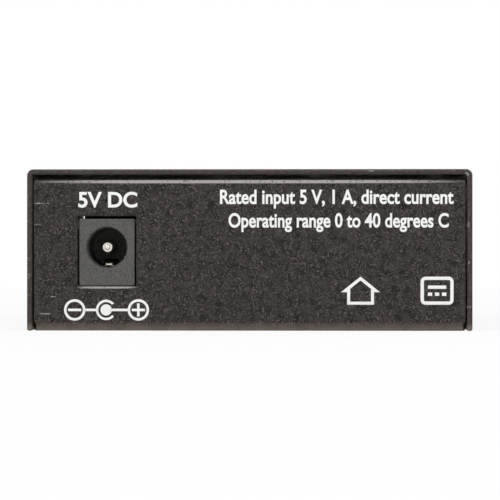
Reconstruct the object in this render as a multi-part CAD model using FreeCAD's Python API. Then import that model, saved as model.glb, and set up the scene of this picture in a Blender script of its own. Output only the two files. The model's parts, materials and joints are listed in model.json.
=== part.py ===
import FreeCAD, Part
import math
import os
from FreeCAD import Vector

# Fibre media converter: a small powder-coated steel box with a circuit board inside. All sizes are in
# millimetres. The power side faces -Y, the port side faces +Y, X runs along both and Z is up. The
# origin is the middle of the underside.

# Box, measured over the cover
box_width = 73.0
box_depth = 94.0
box_height = 26.5

# Top cover: one steel sheet folded to an upside-down U
cover_sheet = 0.9
cover_bend = 0.6            # mean radius of its two bends
vent_count = 8              # slots in each side
vent_pitch = 4.5
vent_width = 1.8
vent_height = 9.0
vent_corner = 0.55          # bevel of a slot's corners
vent_z = 15.0               # middle of the row above the underside

# Tray: one steel sheet with folded end panels, top flanges and a screw ear in each side
tray_sheet = 1.0
tray_bend = 0.7             # mean radius of its bends
seam = 0.2                  # between the tray and each side of the cover
lid_gap = 0.6               # between the top flanges and the cover
flange_depth = 6.0
corner_relief = 0.4         # end panels set in at their bottom bend
relief_height = 1.3         # above the underside
ear_width = 10.0
ear_top = 8.2
ear_corner = 1.2            # bevel of its upper corners
ear_relief = 1.2            # slot beside each ear

# Countersunk screws that hold the cover to the ears, one in each side
cover_screw_head = 4.7      # diameter over the head
cover_screw_shank = 2.5
cover_screw_length = 4.0
countersink_lip = 0.2       # cutters of tapered holes beyond the face

# Board, standoffs and board screws
board_top = 7.4
board_sheet = 1.6
board_side_gap = 0.6
board_end_gap = 0.4
standoff_flats = 5.2        # across the flats of the hexagonal standoffs
board_screw_shank = 2.5
board_screw_head = 4.6
board_screw_head_height = 1.7
board_screw_length = 4.2    # below the head
screw_play = 0.1            # between a shank and its hole
board_screw_inset = 4.5     # from the sides of the board
board_screw_rear = 18.0     # from the power side's edge of the board
board_screw_front = 17.5    # from the port side's edge, on the side of the lamps

# Leads and their holes in the board
lead = 0.5                  # side of a square lead
lead_below = 1.3            # lead below the board
lead_play = 0.15            # around a lead in its hole

# Power jack for a plug of 5.5 mm with a pin of 2 mm
jack_from_side = 13.14      # middle of the jack from the side of the box
jack_recess = 0.3           # face behind the outer face of the panel
jack_width = 9.15
jack_height = 11.0
jack_length = 14.2
jack_flange = 3.4
jack_barrel_width = 8.6
jack_axis = 6.3             # above the board
jack_bore = 6.5
jack_bore_depth = 9.8
jack_mouth_chamfer = 0.1
jack_pin = 2.0
jack_pin_rivet = 1.6        # of its thinner end, through the rear wall
jack_pin_recess = 0.9
jack_pin_tip = 0.7          # flat of its rounded tip, of its diameter
jack_gap_side = 0.24
jack_gap_top = 0.4
jack_gap_below = 0.15
jack_slot_room = 0.3        # around each contact in its slot
jack_corner = 0.25          # radius of the flange's corners
contact_sheet = 0.3
spring_width = 1.6
spring_lift = 0.95          # crest of the spring above the floor of the bore
spring_bend = 0.5
spring_root = 1.1           # first bend of the spring below the floor of the bore
spring_lead_in = 1.3        # length of its lead-in, from the tip to the crest
spring_tip_lift = 0.1       # tip of the spring above the floor of the bore
spring_inset = 1.8          # leg of the spring from the rear of the jack
spring_tip_gap = 1.1        # tip of the spring behind the flange
strap_width = 3.0
strap_sheet = 0.4
blade_width = 1.6           # side contact
blade_inset = 1.0           # side contact from the side of the barrel
blade_leg_inset = 4.2       # its leg from the rear of the jack
blade_tip_gap = 1.9         # its tip behind the flange

# Port side, from -X to +X: fibre transceiver, copper socket, setting switches, lamps
edge_margin = 0.4           # outer ports from the sides of the board
port_play = 0.3             # around each port in its cut-out
port_drop = 0.15            # cut-out below the top of the board

# Duplex fibre transceiver
fibre_width = 25.4
fibre_nose_length = 12.5
fibre_body_height = 9.8
fibre_length = 40.0
fibre_pitch = 12.7
fibre_mouth_width = 7.5
fibre_mouth_height = 9.3
fibre_key_width = 2.4
fibre_key_height = 0.6
fibre_floor = 1.0           # wall below a mouth
fibre_roof = 0.5            # wall above a key slot
fibre_back_wall = 1.1       # behind a mouth, to the rear of the nose
fibre_corner = 0.6
sleeve_bore = 2.5
sleeve_wall = 0.7
sleeve_recess = 4.7         # tip behind the face of the nose
hook_sheet = 0.7
hook_height = 3.2
hook_slope = 1.0            # lead-in of the catch
hook_land = 0.6             # flat of the catch behind it
hook_gap = 0.3              # between a hook and the wall of the mouth
catch_gap = 0.2             # between a catch and the sleeve
fibre_lead_count = 9
fibre_lead_pitch = 2.54
fibre_lead_inset = 5.5      # from the rear end of the transceiver
fibre_post = 1.8
fibre_post_inset = 2.5      # from the side of the transceiver

# Copper socket for an eight-way plug, catch towards the board
socket_width = 15.9
socket_sheet = 0.3
socket_play = 0.1           # between the shield and the insert
socket_roof = 1.3           # insert above the grooves of its wires
insert_back = 2.4           # insert behind the plug's opening
plug_width = 11.8
plug_floor = 3.9
plug_ceiling = 10.9
plug_depth = 14.0
catch_width = 6.3
catch_floor = 2.5
wire_count = 8
wire_pitch = 1.02
wire = 0.36
wire_groove = 0.56
wire_groove_height = 0.8
wire_mouth_gap = 3.6        # bend of the wires behind the face
wire_drop = 1.0             # from the ceiling run to the start of the slope
wire_tip = 2.2              # free ends below the ceiling
wire_tip_depth = 11.0
wire_leg_gap = 1.0          # first row of legs behind the insert
wire_leg_pitch = 1.8        # second row of legs behind the first
wire_leg_clear = 1.5        # second row of legs to the back of the shield
shield_tab_width = 1.6
shield_tab_depth = 9.0      # of the tabs behind the face
shield_lap = 0.2            # opening of the shield beyond that of the insert

# Setting switches
switch_count = 4
switch_pitch = 2.54
switch_end_wall = 0.8
switch_height = 9.8
switch_length = 5.6
switch_recess = 0.6         # face behind the outer face of the panel
switch_slot_width = 1.6
switch_slot_depth = 1.8
lever_width = 1.1
lever_foot_height = 2.6
lever_knob_height = 1.4
lever_foot_depth = 1.0
lever_proud = 0.9           # knob beyond the face of the switch
lever_travel = 2.0
lever_play = 0.3            # between a lever and the ends and floor of its slot
switch_lead_inset = 1.2     # rear row of leads from the rear of the switch

# Lamps
lamp_count = 3
lamp_pitch = 4.6
lamp_first = 2.4            # lowest lamp above the board
lamp_width = 3.8
lamp_height = 1.9
lamp_length = 6.0
lamp_recess = 0.05          # tip of a lamp behind the edge of the cover
lamp_bevel = 0.3            # round its front
lamp_play = 0.1             # between a lamp and its holder
lamp_panel_play = 0.2
holder_wall = 0.7
holder_length = 4.6
holder_gap = 0.5            # between the holder and the panel
lamp_lead_spread = 1.27
lamp_leg_gap = 0.8          # first legs behind the holder
lamp_leg_pitch = 1.3        # from the legs of one lamp to those of the next

# Parts on the board: width along X, depth along Y, height
coil_size = (7.0, 7.0, 4.2)
coil_bevel = 1.05
regulator_size = (4.9, 3.9, 1.5)
converter_size = (10.0, 10.0, 1.4)
converter_leads_per_side = 7
converter_lead_pitch = 1.27
transformer_size = (15.2, 9.6, 5.6)
transformer_leads_per_side = 6
transformer_lead_pitch = 2.2
memory_size = (4.9, 3.9, 1.5)
small_chip_leads_per_side = 4
small_chip_lead_pitch = 1.27
lead_sheet = 0.2
lead_width = 0.45
lead_reach = 1.1            # of a chip's lead beyond its body
standoff_of_chip = 0.12     # body above the board
chip_bevel = 0.15           # of a chip's height
capacitor_count = 2
capacitor_diameter = 8.0
capacitor_height = 11.5
capacitor_pitch = 10.5
capacitor_lead_pitch = 3.5
crystal_size = (5.0, 3.2, 1.1)
chip_capacitor_size = (1.6, 0.8, 0.8)
chip_resistor_size = (1.6, 0.8, 0.45)

# Where they stand: distances between neighbours
jack_to_capacitors = 12.4   # along X
capacitors_to_coil = 13.0   # along X
edge_to_capacitor = 7.2     # power side's edge of the board to the first capacitor
edge_to_coil = 9.2
edge_to_regulator = 20.2
socket_to_transformer = 11.5
transformer_to_converter = 19.5
converter_to_crystal = 9.8
converter_to_memory = 17.0
switch_to_resistors = 10.5
chip_capacitor_offsets = ((-9.0, 2.0), (-9.0, -1.0), (9.0, -4.5), (9.0, 3.5), (-6.0, -7.5), (6.0, -7.5))
chip_resistor_offsets = ((12.0, 11.0), (12.0, 13.5), (-9.0, 5.0))

# ---- Places that follow from the sizes ----
half_width = box_width / 2
half_depth = box_depth / 2
tray_width = box_width - 2 * (cover_sheet + seam)
panel_y = half_depth                             # outer face of each end panel, level with the cover
panel_inside = panel_y - tray_sheet
panel_top = box_height - cover_sheet - lid_gap
ear_inside = tray_width / 2 - tray_sheet
board_bottom = board_top - board_sheet
cover_screw_z = (tray_sheet + board_bottom) / 2  # half way between the tray and the board
board_half = ear_inside - board_side_gap
board_end = panel_inside - board_end_gap

jack_x = -half_width + jack_from_side
jack_face = -panel_y + jack_recess
jack_z = board_top + jack_axis
strap_top = jack_z + strap_width / 2
spring_tip = jack_flange + spring_tip_gap        # tip of the spring behind the face
spring_leg = jack_length - spring_inset          # leg of the spring behind the face
blade_tip = jack_flange + blade_tip_gap          # tip of the side contact behind the face
blade_leg = jack_length - blade_leg_inset        # leg of the side contact behind the face
jack_blade_x = jack_x + jack_barrel_width / 2 - blade_inset
strap_y = jack_face + jack_length - strap_sheet  # middle of the strap

port_face = panel_y                              # noses end level with the panel
insert_length = plug_depth + insert_back
wire_rows = (insert_length + wire_leg_gap, insert_length + wire_leg_gap + wire_leg_pitch)
socket_length = wire_rows[1] + wire_leg_clear + socket_sheet
socket_height = plug_ceiling + wire_groove_height + socket_roof + socket_play + socket_sheet
switch_width = switch_count * switch_pitch + 2 * switch_end_wall
holder_width = lamp_width + 2 * (lamp_play + holder_wall)
port_widths = (fibre_width, socket_width, switch_width, holder_width)
port_gap = (2 * (board_half - edge_margin) - sum(port_widths)) / (len(port_widths) - 1)
fibre_x = -board_half + edge_margin + fibre_width / 2
socket_x = fibre_x + fibre_width / 2 + port_gap + socket_width / 2
switch_x = socket_x + socket_width / 2 + port_gap + switch_width / 2
lamp_x = switch_x + switch_width / 2 + port_gap + holder_width / 2
fibre_mouth_depth = fibre_nose_length - fibre_back_wall
fibre_nose_height = fibre_floor + fibre_mouth_height + fibre_key_height + fibre_roof
fibre_z = board_top + fibre_floor + fibre_mouth_height / 2
switch_face = panel_y - switch_recess
switch_z = board_top + switch_height / 2
holder_front = panel_inside - holder_gap
lamp_zs = [board_top + lamp_first + i * lamp_pitch for i in range(lamp_count)]
fibre_rear = port_face - fibre_length
board_screw_places = (
    (-board_half + board_screw_inset, -board_end + board_screw_rear),
    (board_half - board_screw_inset, -board_end + board_screw_rear),
    (board_half - board_screw_inset, board_end - board_screw_front),
)


# ---- Shapes used by several parts ----
def block(x, y, z):
    """A box between the two values of each of x, y and z."""
    return Part.makeBox(x[1] - x[0], y[1] - y[0], z[1] - z[0], Vector(x[0], y[0], z[0]))


def about(middle, size):
    """The two values that lie half of size either side of middle."""
    return (middle - size / 2, middle + size / 2)


def outline(points, radii):
    """A closed wire through the points, with each corner rounded to its radius."""
    corners = []
    for i, corner in enumerate(points):
        back = (points[i - 1] - corner).normalize()
        on = (points[(i + 1) % len(points)] - corner).normalize()
        half_angle = back.getAngle(on) / 2
        reach = radii[i] / math.tan(half_angle)
        to_centre = (back + on).normalize()
        nearest = corner + to_centre * (radii[i] / math.sin(half_angle) - radii[i])
        corners.append((corner + back * reach, nearest, corner + on * reach))
    edges = []
    for i, (start, nearest, end) in enumerate(corners):
        if radii[i] > 0:
            edges.append(Part.Arc(start, nearest, end).toShape())
        following = corners[(i + 1) % len(corners)][0]
        if (following - end).Length > 1e-6:
            edges.append(Part.makeLine(end, following))
    return Part.Wire(edges)


def plate(points, radii, sweep):
    """A solid of the outline, extruded by the vector sweep."""
    return Part.Face(outline(points, radii)).extrude(sweep)


def strip(path, sheet, bend, sweep):
    """Sheet folded along path, the middle line of its section, and as wide as the vector sweep.

    bend is the mean radius of every fold, and 0 leaves them sharp.
    """
    normal = Vector(sweep).normalize()
    sides = ([], [])
    radii = ([], [])
    for i, point in enumerate(path):
        runs = [(b - a).normalize() for a, b in zip(path, path[1:])]
        before = runs[max(i - 1, 0)]
        after = runs[min(i, len(runs) - 1)]
        across_before = normal.cross(before)
        across_after = normal.cross(after)
        mitre = (across_before + across_after) * (1 / (1 + across_before.dot(across_after)))
        turn = normal.dot(before.cross(after))
        for side, sign in enumerate((1, -1)):
            sides[side].append(point + mitre * (sign * sheet / 2))
            sharp = abs(turn) < 1e-9 or bend == 0
            radii[side].append(0 if sharp else bend - math.copysign(sheet / 2, turn * sign))
    return plate(sides[0] + sides[1][::-1], radii[0] + radii[1][::-1], sweep)


def disc(radius, y, x, z):
    """A cylinder along Y between the two values of y."""
    return Part.makeCylinder(radius, y[1] - y[0], Vector(x, y[0], z), Vector(0, 1, 0))


def turned(profile, place, axis):
    """A solid turned from a profile of (radius, distance) points, set at place along axis."""
    points = [Vector(radius, 0, along) for radius, along in profile]
    solid = Part.Face(Part.makePolygon(points + points[:1])).revolve(Vector(0, 0, 0), Vector(0, 0, 1), 360)
    solid.Placement = FreeCAD.Placement(place, FreeCAD.Rotation(Vector(0, 0, 1), axis))
    return solid


def leads_down(places, top):
    """Square leads from the height top down through the board."""
    bottom = board_bottom - lead_below
    return [block(about(x, lead), about(y, lead), (bottom, top)) for x, y in places]


def lead_holes(places, x_size=lead, y_size=lead):
    """Holes in the board for leads of the given section."""
    span = (board_bottom - 1, board_top + 1)
    return [
        block(about(x, x_size + 2 * lead_play), about(y, y_size + 2 * lead_play), span) for x, y in places
    ]


# ---- Sheet metal ----
def cover_screw_hole(side):
    """The cutter of a countersunk hole through one side of the cover and the ear behind it."""
    lip = countersink_lip
    wide = cover_screw_head / 2 + screw_play
    narrow = cover_screw_shank / 2 + screw_play
    deep = cover_screw_length + 1
    profile = [(0, -lip), (wide + lip, -lip), (narrow, wide - narrow), (narrow, deep), (0, deep)]
    return turned(profile, Vector(side * half_width, 0, cover_screw_z), Vector(-side, 0, 0))


def screw_ear(side):
    """The ear folded up from the middle of one side of the tray, with its tapped hole."""
    middle = side * (tray_width - tray_sheet) / 2
    root = side * (tray_width / 2 - tray_bend - tray_sheet / 2)
    start = -ear_width / 2
    section = [(root, tray_sheet / 2), (middle, tray_sheet / 2), (middle, ear_top)]
    ear = strip([Vector(x, start, z) for x, z in section], tray_sheet, tray_bend, Vector(0, ear_width, 0))
    top_corners = [
        e for e in ear.Edges if e.BoundBox.ZMin > ear_top - 0.01 and e.BoundBox.YLength < 0.01
    ]
    return ear.makeChamfer(ear_corner, top_corners).cut(cover_screw_hole(side))


def chassis():
    """The tray: base, end panels with top flanges, screw ears and the cut-outs of the ports."""
    left = -tray_width / 2
    end = panel_y - tray_sheet / 2
    top = panel_top - tray_sheet / 2
    low = tray_sheet / 2
    tip = panel_y - flange_depth
    section = [(-tip, top), (-end, top), (-end, low), (end, low), (end, top), (tip, top)]
    path = [Vector(left, y, z) for y, z in section]
    tray = strip(path, tray_sheet, tray_bend, Vector(tray_width, 0, 0))
    bend_outside = tray_bend + tray_sheet / 2
    cuts = []
    for side in (-1, 1):
        edge = side * tray_width / 2
        for end_side in (-1, 1):
            cuts.append(block(
                about(edge, 2 * corner_relief),
                about(end_side * panel_y, 2 * bend_outside),
                (-1, relief_height)))
        gap = about(0, ear_width + 2 * ear_relief)
        cuts.append(block(about(edge, 2 * bend_outside), gap, (-1, ear_top + 1)))
    cuts.append(block(
        (jack_x - jack_width / 2 - jack_gap_side, jack_x + jack_width / 2 + jack_gap_side),
        (-panel_y - 1, -panel_inside + 1),
        (board_top - jack_gap_below, board_top + jack_height + jack_gap_top)))
    through = (panel_inside - 1, panel_y + 1)
    floor = board_top - port_drop
    for x, width, height in (
        (fibre_x, fibre_width, fibre_nose_height),
        (socket_x, socket_width, socket_height),
        (switch_x, switch_width, switch_height),
    ):
        opening = (floor, board_top + height + port_play)
        cuts.append(block(about(x, width + 2 * port_play), through, opening))
    for z in lamp_zs:
        window = about(z, lamp_height + 2 * lamp_panel_play)
        cuts.append(block(about(lamp_x, lamp_width + 2 * lamp_panel_play), through, window))
    cuts += [hexagon(x, y, tray_sheet) for x, y in board_screw_places]
    tray = tray.cut(Part.Compound(cuts))
    return tray.fuse([screw_ear(-1), screw_ear(1)]).removeSplitter()


def vent_slot(side, y):
    """The cutter of one upright slot in a side of the cover, with bevelled corners."""
    x = side * (half_width - cover_sheet / 2) - cover_sheet
    w = vent_width / 2
    h = vent_height / 2
    b = vent_corner
    lower = [(-w, -h + b), (-w + b, -h), (w - b, -h), (w, -h + b)]
    points = lower + [(-u, -v) for u, v in lower]
    return plate([Vector(x, y + u, vent_z + v) for u, v in points], [0] * 8, Vector(2 * cover_sheet, 0, 0))


def top_cover():
    """The cover, with its vent slots and countersunk holes."""
    middle = half_width - cover_sheet / 2
    top = box_height - cover_sheet / 2
    path = [Vector(x, -half_depth, z) for x, z in ((-middle, 0), (-middle, top), (middle, top), (middle, 0))]
    cover = strip(path, cover_sheet, cover_bend, Vector(0, box_depth, 0))
    cuts = []
    for side in (-1, 1):
        for i in range(vent_count):
            cuts.append(vent_slot(side, (i - (vent_count - 1) / 2) * vent_pitch))
        cuts.append(cover_screw_hole(side))
    return cover.cut(Part.Compound(cuts))


def cover_screws():
    """Countersunk screws, their heads level with the sides of the cover."""
    head = cover_screw_head / 2
    shank = cover_screw_shank / 2
    tip = cover_screw_length
    profile = [(0, 0), (head, 0), (shank, head - shank), (shank, tip), (0, tip)]
    return [
        turned(profile, Vector(side * half_width, 0, cover_screw_z), Vector(-side, 0, 0)) for side in (-1, 1)
    ]


# ---- Board and what holds it ----
def hexagon(x, y, height):
    """An upright hexagonal prism of a standoff's section, from the underside of the tray."""
    corner = standoff_flats / math.sqrt(3)
    angles = [math.radians(60 * i) for i in range(6)]
    points = [Vector(x + corner * math.cos(a), y + corner * math.sin(a), 0) for a in angles]
    return plate(points, [0] * 6, Vector(0, 0, height))


def board_standoffs():
    """Hexagonal tapped standoffs, clinched into the tray and level with its underside."""
    standoffs = []
    for x, y in board_screw_places:
        hole = Part.makeCylinder(board_screw_shank / 2 + screw_play, board_bottom + 2, Vector(x, y, -1))
        standoffs.append(hexagon(x, y, board_bottom).cut(hole))
    return standoffs


def board_screws():
    """Flat-topped screws through the board into the standoffs."""
    head = board_screw_head / 2
    shank = board_screw_shank / 2
    profile = [(0, -board_screw_length), (shank, -board_screw_length), (shank, 0), (head, 0),
               (head, board_screw_head_height), (0, board_screw_head_height)]
    return [turned(profile, Vector(x, y, board_top), Vector(0, 0, 1)) for x, y in board_screw_places]


def circuit_board():
    """The board, with holes for its screws and for every lead that passes through it."""
    span = (board_bottom, board_top)
    board = block((-board_half, board_half), (-board_end, board_end), span)
    wide = board_screw_shank / 2 + screw_play
    holes = [
        Part.makeCylinder(wide, board_sheet + 2, Vector(x, y, board_bottom - 1))
        for x, y in board_screw_places
    ]
    holes += lead_holes([(jack_x, jack_face + spring_leg)], spring_width, contact_sheet)
    holes += lead_holes([(jack_x, strap_y)], strap_width, strap_sheet)
    holes += lead_holes([(jack_blade_x, jack_face + blade_leg)], contact_sheet, blade_width)
    holes += lead_holes(fibre_lead_places + wire_leg_places + switch_lead_places + capacitor_lead_places)
    holes += lead_holes(lamp_lead_places)
    holes += lead_holes(fibre_post_places, fibre_post, fibre_post)
    holes += lead_holes(shield_tab_places, socket_sheet, shield_tab_width)
    return board.cut(Part.Compound(holes))


# ---- Power jack ----
def dc_jack_housing():
    """The moulded housing: square front flange, round-topped barrel, bore and contact slots."""
    left, right = about(jack_x, jack_width)
    low, high = board_top, board_top + jack_height
    corners = [Vector(x, jack_face, z) for x, z in ((left, low), (right, low), (right, high), (left, high))]
    flange = plate(corners, [jack_corner] * 4, Vector(0, jack_flange, 0))
    rear = jack_face + jack_length
    span = (jack_face + jack_flange, rear)
    barrel = disc(jack_barrel_width / 2, span, jack_x, jack_z)
    foot = block(about(jack_x, jack_barrel_width), span, (board_top, jack_z))

    bore = jack_bore / 2
    lip = countersink_lip
    pin_hole = jack_pin_rivet / 2 + screw_play
    mouth = [(0, -lip), (bore + jack_mouth_chamfer + lip, -lip), (bore, jack_mouth_chamfer),
             (bore, jack_bore_depth), (pin_hole, jack_bore_depth), (pin_hole, jack_length + 1),
             (0, jack_length + 1)]
    room = jack_slot_room
    below = board_top - 1
    cuts = [
        turned(mouth, Vector(jack_x, jack_face, jack_z), Vector(0, 1, 0)),
        block(about(jack_x, spring_width + 2 * room),
              (jack_face + spring_tip - room, jack_face + spring_leg + contact_sheet / 2 + room),
              (below, jack_z - jack_pin)),
        block(about(jack_x, strap_width + 2 * room), (strap_y - strap_sheet / 2 - screw_play, rear + 1),
              (below, strap_top + room)),
        block((jack_blade_x - contact_sheet / 2 - room, jack_x + jack_width),
              (jack_face + blade_tip - room, jack_face + blade_leg + blade_width / 2 + room),
              (below, jack_z + blade_width / 2 + room)),
    ]
    return flange.fuse([barrel, foot]).cut(Part.Compound(cuts))


def dc_jack_pin():
    """The centre pin, with a rounded tip. Its thin end is riveted level with the strap."""
    r = jack_pin / 2
    rivet = jack_pin_rivet / 2
    start = jack_pin_recess
    profile = [(0, start), (r * jack_pin_tip, start + r / 4), (r, start + r), (r, jack_bore_depth),
               (rivet, jack_bore_depth), (rivet, jack_length), (0, jack_length)]
    return turned(profile, Vector(jack_x, jack_face, jack_z), Vector(0, 1, 0))


def dc_jack_spring():
    """The leaf that presses on the sleeve of the plug from below, with its leg through the board."""
    bore_floor = jack_z - jack_bore / 2
    left = jack_x - spring_width / 2
    crest = bore_floor + spring_lift - contact_sheet / 2
    section = [(spring_leg, board_bottom - lead_below), (spring_leg, bore_floor - spring_root),
               (spring_tip + spring_lead_in, crest), (spring_tip, bore_floor + spring_tip_lift)]
    path = [Vector(left, jack_face + y, z) for y, z in section]
    return strip(path, contact_sheet, spring_bend, Vector(spring_width, 0, 0))


def dc_jack_terminals():
    """The strap riveted to the centre pin, and the side contact with its leg."""
    bottom = board_bottom - lead_below
    strap = block(about(jack_x, strap_width), about(strap_y, strap_sheet), (bottom, strap_top))
    strap = strap.cut(disc(jack_pin_rivet / 2 + screw_play, (strap_y - 1, strap_y + 1), jack_x, jack_z))
    leg_y = jack_face + blade_leg
    across = about(jack_blade_x, contact_sheet)
    leg = block(across, about(leg_y, blade_width), (bottom, jack_z + blade_width / 2))
    arm = block(across, (jack_face + blade_tip, leg_y), about(jack_z, blade_width))
    return [strap, leg.fuse(arm).removeSplitter()]


# ---- Fibre transceiver ----
fibre_lead_places = [
    (fibre_x + (i - (fibre_lead_count - 1) / 2) * fibre_lead_pitch, fibre_rear + fibre_lead_inset)
    for i in range(fibre_lead_count)
]
fibre_post_places = [
    (fibre_x + side * (fibre_width / 2 - fibre_post_inset), port_face - fibre_nose_length)
    for side in (-1, 1)
]
fibre_port_xs = [fibre_x - fibre_pitch / 2, fibre_x + fibre_pitch / 2]


def moulded_block(start, end, height):
    """A block of the transceiver between two values of y, with its upper edges rounded."""
    low = board_top
    corners = [(-1, low), (1, low), (1, low + height), (-1, low + height)]
    points = [Vector(fibre_x + side * fibre_width / 2, start, z) for side, z in corners]
    return plate(points, [0, 0, fibre_corner, fibre_corner], Vector(0, end - start, 0))


def fibre_transceiver_housing():
    """The moulded housing: a tall nose with two mouths and their key slots, and a lower body."""
    nose_rear = port_face - fibre_nose_length
    nose = moulded_block(nose_rear, port_face, fibre_nose_height)
    body = moulded_block(fibre_rear, nose_rear, fibre_body_height)
    cuts = []
    for x in fibre_port_xs:
        depth = (port_face - fibre_mouth_depth, port_face + 1)
        key = about(fibre_z + fibre_mouth_height / 2, 2 * fibre_key_height)
        cuts.append(block(about(x, fibre_mouth_width), depth, about(fibre_z, fibre_mouth_height)))
        cuts.append(block(about(x, fibre_key_width), depth, key))
    return nose.fuse(body).cut(Part.Compound(cuts)).removeSplitter()


def fibre_sleeve(x):
    """An alignment sleeve standing on the back wall of its mouth."""
    span = (port_face - fibre_mouth_depth, port_face - sleeve_recess)
    outer = disc(sleeve_bore / 2 + sleeve_wall, span, x, fibre_z)
    return outer.cut(disc(sleeve_bore / 2, (span[0] - 1, span[1] + 1), x, fibre_z))


def fibre_latches():
    """Two sprung hooks in each mouth, one either side of the sleeve, standing on the back wall."""
    hooks = []
    back = port_face - fibre_mouth_depth
    tip = port_face - sleeve_recess
    sleeve_side = sleeve_bore / 2 + sleeve_wall
    for x in fibre_port_xs:
        for side in (-1, 1):
            outer = x + side * (fibre_mouth_width / 2 - hook_gap)
            inner = outer - side * hook_sheet
            catch = x + side * (sleeve_side + catch_gap)
            crest = tip - hook_slope
            heel = crest - hook_land
            section = [(outer, back), (outer, tip), (inner, tip), (catch, crest),
                       (catch, heel), (inner, heel), (inner, back)]
            points = [Vector(u, v, fibre_z - hook_height / 2) for u, v in section]
            hooks.append(plate(points, [0] * len(points), Vector(0, 0, hook_height)))
    return hooks


def transceiver_leads():
    """The row of leads at the rear and the two mounting posts beneath the nose."""
    posts = [
        block(about(x, fibre_post), about(y, fibre_post), (board_bottom - lead_below, board_top))
        for x, y in fibre_post_places
    ]
    return leads_down(fibre_lead_places, board_top) + posts


# ---- Copper socket ----
wire_xs = [socket_x + (i - (wire_count - 1) / 2) * wire_pitch for i in range(wire_count)]
wire_leg_places = [(x, port_face - wire_rows[i % 2]) for i, x in enumerate(wire_xs)]
shield_tab_places = [
    (socket_x + side * (socket_width - socket_sheet) / 2, port_face - shield_tab_depth) for side in (-1, 1)
]


def plug_opening(grow, depth):
    """The plug's opening with the step for its catch, larger by grow all round, as deep as depth."""
    span = (port_face - depth, port_face + 1)
    floor = board_top + plug_floor
    ceiling = board_top + plug_ceiling
    plug = block(about(socket_x, plug_width + 2 * grow), span, (floor - grow, ceiling + grow))
    catch = block(about(socket_x, catch_width + 2 * grow), span, (board_top + catch_floor - grow, floor))
    return plug.fuse(catch)


def rj45_shield():
    """The folded tinned shield, open below, with two tabs soldered into the board."""
    rear = port_face - socket_length
    top = board_top + socket_height
    outer = block(about(socket_x, socket_width), (rear, port_face), (board_top, top))
    inner = block(
        about(socket_x, socket_width - 2 * socket_sheet), (rear + socket_sheet, port_face - socket_sheet),
        (board_top - 1, top - socket_sheet))
    shield = outer.cut([inner, plug_opening(shield_lap, 1)])
    tab = (board_bottom - lead_below, board_top + 1)
    tabs = [block(about(x, socket_sheet), about(y, shield_tab_width), tab) for x, y in shield_tab_places]
    return shield.fuse(tabs).removeSplitter()


def rj45_insert():
    """The moulded insert, with the plug's opening and a groove for each wire in its ceiling."""
    front = port_face - socket_sheet - socket_play
    width = socket_width - 2 * (socket_sheet + socket_play)
    top = board_top + socket_height - socket_sheet - socket_play
    insert = block(about(socket_x, width), (port_face - insert_length, front), (board_top, top))
    ceiling = board_top + plug_ceiling
    length = (port_face - insert_length - 1, port_face - wire_mouth_gap + wire_groove)
    height = (ceiling - 1, ceiling + wire_groove_height)
    grooves = [block(about(x, wire_groove), length, height) for x in wire_xs]
    return insert.cut(Part.Compound([plug_opening(0, plug_depth)] + grooves))


def rj45_contacts():
    """Sprung wires: a leg behind the insert, a run in the ceiling and a free end that slopes down."""
    wires = []
    run = board_top + plug_ceiling + wire_groove_height / 2
    for x, (_, leg) in zip(wire_xs, wire_leg_places):
        front = port_face - wire_mouth_gap
        section = [(leg, board_bottom - lead_below), (leg, run), (front, run), (front, run - wire_drop),
                   (port_face - wire_tip_depth, board_top + plug_ceiling - wire_tip)]
        path = [Vector(x - wire / 2, y, z) for y, z in section]
        wires.append(strip(path, wire, 0, Vector(wire, 0, 0)))
    return wires


# ---- Setting switches ----
switch_xs = [switch_x + (i - (switch_count - 1) / 2) * switch_pitch for i in range(switch_count)]
switch_rear = switch_face - switch_length
switch_lead_ys = [switch_rear + switch_lead_inset, switch_rear + switch_lead_inset + switch_pitch]
switch_lead_places = [(x, y) for x in switch_xs for y in switch_lead_ys]
slot_height = lever_foot_height + lever_travel + 2 * lever_play


def dip_switch_body():
    """The moulded body, with one upright slot for each lever."""
    body = block(about(switch_x, switch_width), (switch_rear, switch_face), about(switch_z, switch_height))
    depth = (switch_face - switch_slot_depth, switch_face + 1)
    height = about(switch_z, slot_height)
    return body.cut(Part.Compound([block(about(x, switch_slot_width), depth, height) for x in switch_xs]))


def dip_lever(x):
    """A sliding lever at the bottom of its travel: a foot in the slot and a knob that stands proud."""
    middle = switch_z - lever_travel / 2
    back = switch_face - switch_slot_depth + lever_play
    foot = block(about(x, lever_width), (back, back + lever_foot_depth), about(middle, lever_foot_height))
    knob = block(about(x, lever_width), (back, switch_face + lever_proud), about(middle, lever_knob_height))
    return foot.fuse(knob).removeSplitter()


# ---- Lamps ----
lamp_leg_ys = [holder_front - holder_length - lamp_leg_gap - lamp_leg_pitch * i for i in range(lamp_count)]
lamp_lead_places = [(lamp_x + side * lamp_lead_spread, y) for y in lamp_leg_ys for side in (-1, 1)]
lamp_tip = panel_y - lamp_recess
lamp_rear = lamp_tip - lamp_length


def led_holder():
    """The moulded block that holds the lamps one above the other."""
    span = (holder_front - holder_length, holder_front)
    top = lamp_zs[-1] + lamp_height / 2 + lamp_play + holder_wall
    holder = block(about(lamp_x, holder_width), span, (board_top, top))
    wide = about(lamp_x, lamp_width + 2 * lamp_play)
    through = (span[0] - 1, span[1] + 1)
    windows = [block(wide, through, about(z, lamp_height + 2 * lamp_play)) for z in lamp_zs]
    return holder.cut(Part.Compound(windows))


def indicator_leds():
    """The lamps: clear bars that look out through the panel."""
    lamps = []
    for z in lamp_zs:
        bar = block(about(lamp_x, lamp_width), (lamp_rear, lamp_tip), about(z, lamp_height))
        front = [e for e in bar.Edges if e.BoundBox.YMin > lamp_tip - 0.01]
        lamps.append(bar.makeChamfer(lamp_bevel, front))
    return lamps


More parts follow.
